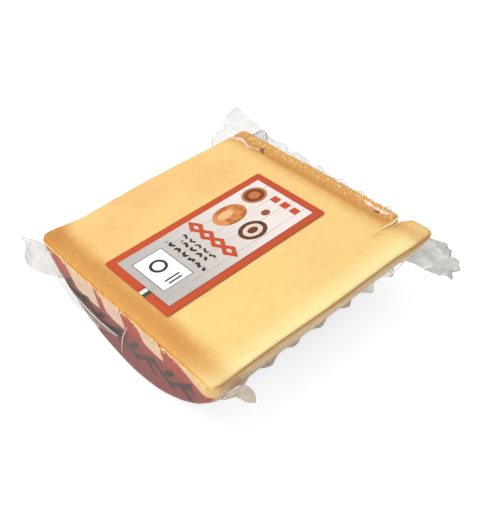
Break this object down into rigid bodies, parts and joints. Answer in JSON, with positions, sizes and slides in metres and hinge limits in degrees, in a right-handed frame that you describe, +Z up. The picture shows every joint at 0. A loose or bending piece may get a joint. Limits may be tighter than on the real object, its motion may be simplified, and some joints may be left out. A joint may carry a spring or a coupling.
{
  "type": "vacuum-packed cheese segment",
  "caption": "Vacuum-packed segment of hard cheese with a printed wrap on its rind, a clear crumpled film bag and a rectangular label on the cut face.",
  "frame": {"origin": "middle of the flat strip that the pack rests on", "axes": "+Z up through the cut face; +X along the wheel's axis from one flat end to the other; +Y across the cut face"},
  "size_m": [0.1623, 0.1717, 0.0479],
  "materials": {
    "cheese": "dense pale orange-yellow cheese, slightly waxy, darker under the rind",
    "printed_wrap": "printed plastic wrap in brick red, mauve and cream",
    "film": "clear glossy vacuum film",
    "label": "smooth coated paper label with an orange-red border"
  },
  "bodies": {
    "root": {"cheese": "cheese", "printed_wrap": "printed_wrap", "film_bag": "film", "label": "label"}
  },
  "joints": []
}
